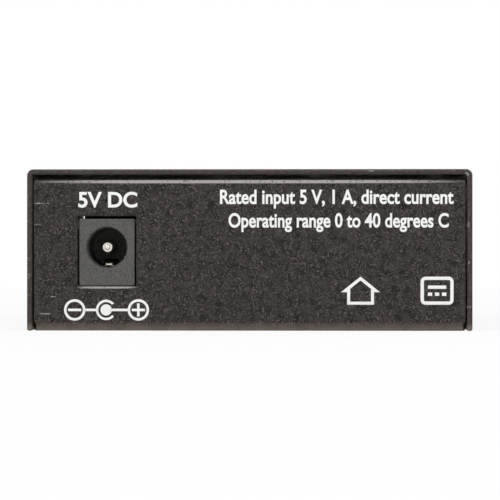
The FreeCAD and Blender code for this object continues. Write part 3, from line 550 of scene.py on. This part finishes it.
def lettered(words, cap_height, width=None):
    """Bold printed words as a mesh on the XY plane, their baseline on X and their middle on Y."""
    curve = bpy.data.curves.new("letters", "FONT")
    curve.body = words
    curve.size = cap_height / cap_share
    curve.offset = curve.size * bold_share
    curve.extrude = print_rise / 2
    curve.align_x = "CENTER"
    curve.resolution_u = 6
    letters = bpy.data.objects.new("letters", curve)
    bpy.context.scene.collection.objects.link(letters)
    bpy.context.view_layer.update()
    flat = letters.evaluated_get(bpy.context.evaluated_depsgraph_get())
    mesh = bmesh.new()
    mesh.from_mesh(bpy.data.meshes.new_from_object(flat))
    bpy.data.objects.remove(letters)
    across = [v.co.x for v in mesh.verts]
    to_middle = -(min(across) + max(across)) / 2
    bmesh.ops.translate(mesh, verts=mesh.verts, vec=(to_middle, 0, print_rise / 2))
    if width:
        widened = width / (max(across) - min(across))
        bmesh.ops.scale(mesh, verts=mesh.verts, vec=(widened, 1, 1))
    return mesh


def on_port_side(x, y, z):
    """The placement of a flat form that is read from +Y."""
    turned = Matrix.Rotation(math.pi, 4, "Z") @ Matrix.Rotation(math.pi / 2, 4, "X")
    return Matrix.Translation((x, y, z)) @ turned


switch_low, switch_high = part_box("dip_switch_body")
word_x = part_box("dip_lever_4")[1].x - word_inset
parts = [(lettered("ON", switch_letter),
          on_port_side(word_x, switch_high.y, switch_high.z - word_drop))]
for number in range(1, 5):
    lever_low, lever_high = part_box("dip_lever_%d" % number)
    lever_x = (lever_low.x + lever_high.x) / 2
    parts.append((lettered(str(5 - number), switch_letter),
                  on_port_side(lever_x, switch_high.y, switch_low.z + number_foot)))
set_in_place(parts, "switch_print", white_ink, "lever_plastic", "enclosure")

# ---- Lamps ----
# Three clear green bars in a black moulded holder, one above the other, which carry the light of
# their chips out through the panel. They are cast in tinted resin, glossy, with softened corners.
material, place = new_finish("holder_moulding")
spark = place.noise(3000)
surface(place, spark.spread(0, 1).mixed((0.014, 0.014, 0.015, 1), (0.026, 0.026, 0.027, 1)),
        spark.spread(0.45, 0.6), spark.bump(0.008 * MM))
dressed("led_holder", material, "holder_plastic", rounding=0.1 * MM)

material, place = new_finish("tinted_resin")
depth = place.noise(420)
surface(place, depth.mixed((0.13, 0.44, 0.17, 1), (0.30, 0.66, 0.33, 1)),
        depth.spread(0.12, 0.22), place.noise(900, detail=1.0).bump(0.004 * MM),
        Coat_Weight=0.6, Coat_Roughness=0.08, IOR=1.53)
dressed("indicator_leds", material, "lamp_plastic", rounding=0.12 * MM, narrow=0.2 * MM)

# ---- Capacitors, coil and chips ----
# The rest of the board: two sleeved aluminium cans, a ferrite coil, moulded epoxy chips, a crystal
# in a metal can, and small ceramic chips. All are soldered to the board's upper face.
stripe_width = 1.3 * MM     # the pale stripe down the sleeve of the can at -X
can_low, can_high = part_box("bulk_capacitors")
material, place = new_finish("sleeved_can")
stripe_end = can_low.x + stripe_width
stripe = place.axis("X").ramp(stripe_end, stripe_end - 0.1 * MM) * 0.9
bare_top = place.axis("Z").ramp(can_high.z - 0.05 * MM, can_high.z - 0.02 * MM)
sheen = place.noise(300)
sleeve = stripe.mixed((0.012, 0.018, 0.05, 1), (0.58, 0.58, 0.56, 1))
surface(place, bare_top.mixed(sleeve, (0.62, 0.62, 0.62, 1)), sheen.spread(0.22, 0.34),
        sheen.bump(0.02 * MM), metal=bare_top, Coat_Weight=0.3)
dressed("bulk_capacitors", material, "can_sleeve", rounding=0.5 * MM, narrow=0.4 * MM)

material, place = new_finish("pressed_ferrite")
pores = place.noise(1600, detail=4.0, roughness=0.65)
surface(place, pores.mixed((0.045, 0.045, 0.048, 1), (0.13, 0.13, 0.135, 1)),
        pores.spread(0.5, 0.68), pores.bump(0.03 * MM))
dressed("power_coil", material, "ferrite", rounding=0.2 * MM)

material, place = new_finish("moulded_epoxy")
grit = place.noise(3400, detail=3.0, roughness=0.6)
surface(place, grit.ramp(0.35, 0.7).mixed((0.016, 0.016, 0.018, 1), (0.034, 0.034, 0.037, 1)),
        grit.spread(0.5, 0.66), grit.bump(0.012 * MM))
for node in ("regulator_body", "converter_chip_body", "transformer_body", "memory_chip_body"):
    dressed(node, material, "chip_epoxy", rounding=0.05 * MM, narrow=0.1 * MM)

material, place = new_finish("drawn_can")
drawn = place.noise(700, stretch=(0.2, 1, 1))
surface(place, drawn.mixed((0.60, 0.59, 0.56, 1), (0.76, 0.75, 0.72, 1)),
        drawn.spread(0.2, 0.34), drawn.bump(0.004 * MM), metal=1.0)
dressed("crystal", material, "crystal_can", rounding=0.3 * MM)

end_cap = (0.66, 0.66, 0.66, 1)
slot_of = {part["node"]: part["material_slot"] for part in frame["record"]["subparts"]}
small_chips = (
    ("ceramic_chip", "chip_capacitors", (0.42, 0.27, 0.14, 1)),
    ("resistor_chip", "chip_resistors", (0.022, 0.022, 0.024, 1)))
for name, node, body_colour in small_chips:
    material, place = new_finish(name)
    grit = place.noise(3000)
    soldered = place.noise(1500, detail=1.0).ramp(0.5, 0.56)
    surface(place, soldered.mixed(body_colour, end_cap), grit.spread(0.3, 0.44),
            grit.bump(0.01 * MM))
    dressed(node, material, slot_of[node], rounding=0.06 * MM, narrow=0.1 * MM)

# ---- Cover and its screws ----
# One steel sheet folded to an upside-down U over the tray, with eight vent slots in each side,
# powder coated like the tray. A black countersunk screw in each side holds it to the tray's ears.
cover_black = (0.0460, 0.0330, 0.0325, 1)
cover_scuffs = (
    (35.75, 17.4, 0.5, 1.1, 0.42), (35.8, 3.9, 0.9, 0.4, 0.42), (35.5, 25.6, 0.9, 0.7, 0.42),
    (-36.2, 9.0, 0.3, 0.9, 0.42), (35.9, 11.2, 0.3, 0.5, 0.42), (20.0, 26.2, 1.4, 0.2, 0.42))
cover_coat = powder_coat("cover_powder_coat", cover_black, cover_scuffs)
dressed("top_cover", cover_coat, "cover_paint", rounding=coat_rounding)

head = 2.35 * MM
shank = 1.25 * MM
length = 4.0 * MM
recess_width = 2.7 * MM
recess_depth = 1.2 * MM
material, place = new_finish("blackened_steel")
oxide = place.noise(1800, detail=3.0)
worn = place.noise(800).ramp(0.6, 0.75) * 0.4
surface(place, worn.mixed((0.018, 0.018, 0.019, 1), (0.12, 0.12, 0.12, 1)),
        oxide.spread(0.3, 0.46), oxide.bump(0.006 * MM), metal=0.6)
countersunk = [
    (0, -length), (shank * 0.8, -length), (shank, -length * 0.93), (shank, shank - head),
    (head * 0.985, -0.05 * MM), (head * 0.985, -0.02 * MM), (head * 0.96, 0), (0, 0)]
screw_low, screw_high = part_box("cover_screws")
middle_z = (screw_low.z + screw_high.z) / 2
parts = []
for side, turn in ((-1, 0.4), (1, 0.95)):
    outwards = Matrix.Rotation(side * math.pi / 2, 4, "Y") @ Matrix.Rotation(turn, 4, "Z")
    at = Matrix.Translation((side * screw_high.x, 0, middle_z)) @ outwards
    parts.append((carved(countersunk, recess_width, recess_depth), at))
set_in_place(parts, "cover_screws_recessed", material, "black_screw", "enclosure", "cover_screws")

# ---- Legends of the power side ----
# White screen print on the panel: the input voltage above the jack, the polarity sign below it, two
# lines of plain ratings, and two plain signs, for indoor use and for direct current.
panel_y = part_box("chassis")[0].y
stroke = 0.42 * MM
lap = 0.1 * MM              # how far a joining bar runs into the ring at its end


def raised(mesh):
    """The flat print given the thickness of its ink."""
    top = bmesh.ops.extrude_face_region(mesh, geom=mesh.faces[:])["geom"]
    top = [v for v in top if isinstance(v, bmesh.types.BMVert)]
    bmesh.ops.translate(mesh, verts=top, vec=(0, 0, print_rise))
    bmesh.ops.recalc_face_normals(mesh, faces=mesh.faces)
    return mesh


def ring(outer, width, start=0.0, end=2 * math.pi):
    """A flat printed ring or arc about the origin, from the angle start to the angle end."""
    mesh = bmesh.new()
    whole = end - start >= 2 * math.pi
    radii = (outer - width, outer)
    line = [mesh.verts.new((r * math.cos(start), r * math.sin(start), 0)) for r in radii]
    edge = mesh.edges.new(line)
    bmesh.ops.spin(mesh, geom=line + [edge], cent=(0, 0, 0), axis=(0, 0, 1), angle=end - start,
                   steps=48, use_merge=whole)
    return raised(mesh)


def bar(x0, y0, x1, y1):
    """A flat printed bar between two corners."""
    mesh = bmesh.new()
    bmesh.ops.create_grid(mesh, x_segments=1, y_segments=1, size=0.5)
    bmesh.ops.scale(mesh, verts=mesh.verts, vec=(x1 - x0, y1 - y0, 1))
    bmesh.ops.translate(mesh, verts=mesh.verts, vec=((x0 + x1) / 2, (y0 + y1) / 2, 0))
    return raised(mesh)


def line_bar(x0, x1):
    """A flat printed bar along X, one stroke high and centred on the axis."""
    return bar(x0, -stroke / 2, x1, stroke / 2)


def dot(radius):
    """A flat printed disc about the origin."""
    mesh = bmesh.new()
    bmesh.ops.create_circle(mesh, cap_ends=True, segments=40, radius=radius)
    return raised(mesh)


def outline(corners, width, rounding=0.0):
    """A flat printed line of one width, drawn inside a closed shape given in millimetres."""
    mesh = bmesh.new()
    mesh.faces.new([mesh.verts.new((x * MM, y * MM, 0)) for x, y in corners])
    if rounding:
        bmesh.ops.bevel(mesh, geom=mesh.verts[:], offset=rounding, segments=5, profile=0.5,
                        affect="VERTICES", material=-1)
    whole = mesh.faces[:]
    bmesh.ops.recalc_face_normals(mesh, faces=whole)
    bmesh.ops.inset_region(mesh, faces=whole, thickness=width, use_even_offset=True,
                           use_boundary=True)
    bmesh.ops.delete(mesh, geom=whole, context="FACES")
    return raised(mesh)


def at_panel(x, z, turn=0.0):
    """A place on the panel, in millimetres from the box's left edge and underside, read from -Y."""
    place = Matrix.Translation((low.x + x * MM, panel_y, z * MM))
    return place @ Matrix.Rotation(math.pi / 2, 4, "X") @ Matrix.Rotation(turn, 4, "Z")


voltage_letter = 2.38 * MM
voltage_width = 9.7 * MM
voltage_x, voltage_z = 13.3, 20.3       # middle of the word and its foot, in millimetres
voltage = [
    (lettered("5V DC", voltage_letter, voltage_width), at_panel(voltage_x, voltage_z))]
set_in_place(voltage, "voltage_print", white_ink, "lever_plastic", "enclosure")

rating_letter = 2.2 * MM
rating_lines = (            # words, width, and place of the middle of the line on the panel
    ("Rated input 5 V, 1 A, direct current", 38.2 * MM, 50.8, 20.85),
    ("Operating range 0 to 40 degrees C", 36.0 * MM, 51.1, 17.0))
ratings = [
    (lettered(words, rating_letter, width), at_panel(x, z)) for words, width, x, z in rating_lines]
set_in_place(ratings, "ratings_print", white_ink, "lever_plastic", "enclosure")

sign = 1.76 * MM            # radius of the two round signs
cup = 1.68 * MM             # radius of the open ring between them
inner = 0.93 * MM           # radius of the dot in the open ring
arm = 1.08 * MM             # from the middle of a round sign to the end of its bar
sign_z = 3.43               # places of the signs on the panel, in millimetres
minus_x, cup_x, plus_x = 7.87, 13.03, 18.32
cup_start, cup_end = math.radians(40), math.radians(320)
cup_stroke = stroke * 0.94
polarity = [
    (ring(sign, stroke), at_panel(minus_x, sign_z)),
    (line_bar(-arm, arm), at_panel(minus_x, sign_z)),
    (line_bar(sign - lap, (cup_x - minus_x) * MM - cup + lap), at_panel(minus_x, sign_z)),
    (ring(cup, cup_stroke, cup_start, cup_end), at_panel(cup_x, sign_z)),
    (dot(inner), at_panel(cup_x, sign_z)),
    (line_bar(inner - lap, (plus_x - cup_x) * MM - sign + lap), at_panel(cup_x, sign_z)),
    (ring(sign, stroke), at_panel(plus_x, sign_z)),
    (line_bar(-arm, arm), at_panel(plus_x, sign_z)),
    (line_bar(stroke / 2, arm), at_panel(plus_x, sign_z, math.pi / 2)),
    (line_bar(stroke / 2, arm), at_panel(plus_x, sign_z, -math.pi / 2))]
set_in_place(polarity, "polarity_print", white_ink, "lever_plastic", "enclosure")

sign_foot = 4.3             # places and corners of the house and the plate, in millimetres
house_x, plate_x = 54.7, 67.2
house = [(-2.2, 0), (2.2, 0), (2.2, 2.05), (3.2, 2.05), (0, 4.6), (-3.2, 2.05), (-2.2, 2.05)]
plate = [(-2.7, 0), (2.7, 0), (2.7, 4.6), (-2.7, 4.6)]
house_line, plate_line = 0.5 * MM, 0.55 * MM
plate_corner = 0.8 * MM
long_bar, short_bar = 1.5 * MM, 0.36 * MM       # half the width of the bars in the plate
bar_foot, dash_foot = 2.6, 1.45     # their undersides above the foot of the plate
signs = [
    (outline(house, house_line), at_panel(house_x, sign_foot)),
    (outline(plate, plate_line, plate_corner), at_panel(plate_x, sign_foot)),
    (bar(-long_bar, 0, long_bar, plate_line), at_panel(plate_x, sign_foot + bar_foot))]
for dash in (-1.15, 0, 1.15):
    signs.append((bar(-short_bar, 0, short_bar, plate_line),
                  at_panel(plate_x + dash, sign_foot + dash_foot)))
set_in_place(signs, "sign_print", white_ink, "lever_plastic", "enclosure")

# ---- Camera, lamps, floor ----
# A level camera almost square to the power side, with soft lamps above, to both sides and behind,
# on a pale floor. The floor and the world are white to the camera, to mirrors and through glass.
camera_distance = 400 * MM
camera_side = 9 * MM        # the camera stands this far to the right of what it looks at
aim_side = 0.12 * MM        # and looks this far to the right of the box's middle
field = 81.83 * MM          # width of the view at the front edge of the cover
film = 36                   # width of the sensor, in millimetres
aim = Vector((aim_side, low.y, (low.z + high.z) / 2))
camera_data = bpy.data.cameras.new("camera")
camera_data.sensor_width = film
camera_data.lens = film * camera_distance / field
camera_data.clip_start = 0.01
camera = bpy.data.objects.new("camera", camera_data)
camera.location = aim + Vector((camera_side, -camera_distance, 0))
camera.rotation_euler = (aim - camera.location).to_track_quat("-Z", "Y").to_euler()
bpy.context.scene.collection.objects.link(camera)
bpy.context.scene.camera = camera

lamp_aim = Vector((0, 0, 0.013))    # the middle of the box, in metres as all places of lamps
softboxes = (               # name, place, width and height in metres, and power in watts
    ("overhead_strip", (0, -0.34, 0.70), 1.2, 0.10, 4.55),
    ("left_softbox", (-0.85, -0.55, 0.35), 0.5, 0.6, 2.05),
    ("right_softbox", (0.85, -0.55, 0.35), 0.5, 0.6, 1.3),
    ("rear_softbox", (0.2, 0.9, 0.5), 0.8, 0.5, 2.85))
for name, place, width, height, power in softboxes:
    lamp_data = bpy.data.lights.new(name, "AREA")
    lamp_data.shape = "RECTANGLE"
    lamp_data.size, lamp_data.size_y, lamp_data.energy = width, height, power
    lamp = bpy.data.objects.new(name, lamp_data)
    lamp.location = place
    lamp.rotation_euler = (lamp_aim - lamp.location).to_track_quat("-Z", "Y").to_euler()
    bpy.context.scene.collection.objects.link(lamp)

white = (1, 1, 1, 1)
sky_strength = 0.305        # of the world as a lamp, though it is seen as white


def seen(tree):
    """1 for a ray of the camera, or one that a mirror or glass sends on, and 0 for light."""
    rays = [tree.node("LightPath", {}, out="Is %s Ray" % kind)
            for kind in ("Camera", "Glossy", "Transmission")]
    return rays[0].larger(rays[1]).larger(rays[2])


world = bpy.data.worlds.new("studio")
bpy.context.scene.world = world
world.use_nodes = True
world.node_tree.nodes.clear()
studio = Shade(world.node_tree)
strength = seen(studio).ramp(0.0, 1.0, sky_strength, 1.0)
sky = studio.node("Background", {"Color": white, "Strength": strength})
studio.node("OutputWorld", {"Surface": sky})

floor_size = 4.0            # half the width of the floor, in metres
floor_drop = 0.02 * MM      # keeps the floor clear of the underside
near, far = 0.12, 0.5       # the floor turns plain white between these distances, in metres
near_white = 0.86           # the share of white beside the object, the rest being lit floor
floor_mesh = bmesh.new()
bmesh.ops.create_grid(floor_mesh, x_segments=1, y_segments=1, size=floor_size)
bmesh.ops.translate(floor_mesh, verts=floor_mesh.verts, vec=(0, 0, -floor_drop))
floor_data = bpy.data.meshes.new("floor")
floor_mesh.to_mesh(floor_data)
floor_mesh.free()
material, place = new_finish("pale_floor")
matt = place.node("BsdfDiffuse", {"Color": (0.86, 0.86, 0.86, 1)})
glow = place.node("Emission", {"Color": white, "Strength": 1.0})
apart = place.node("VectorMath", {0: place}, out="Value", operation="LENGTH")
apart = apart.ramp(near, far, near_white, 1.0)
shown = place.node("MixShader", {0: seen(place) * apart, 1: matt, 2: glow})
place.node("OutputMaterial", {"Surface": shown})
floor_data.materials.append(material)
floor = bpy.data.objects.new("floor", floor_data)
bpy.context.scene.collection.objects.link(floor)

bpy.context.scene.view_settings.view_transform = "Standard"
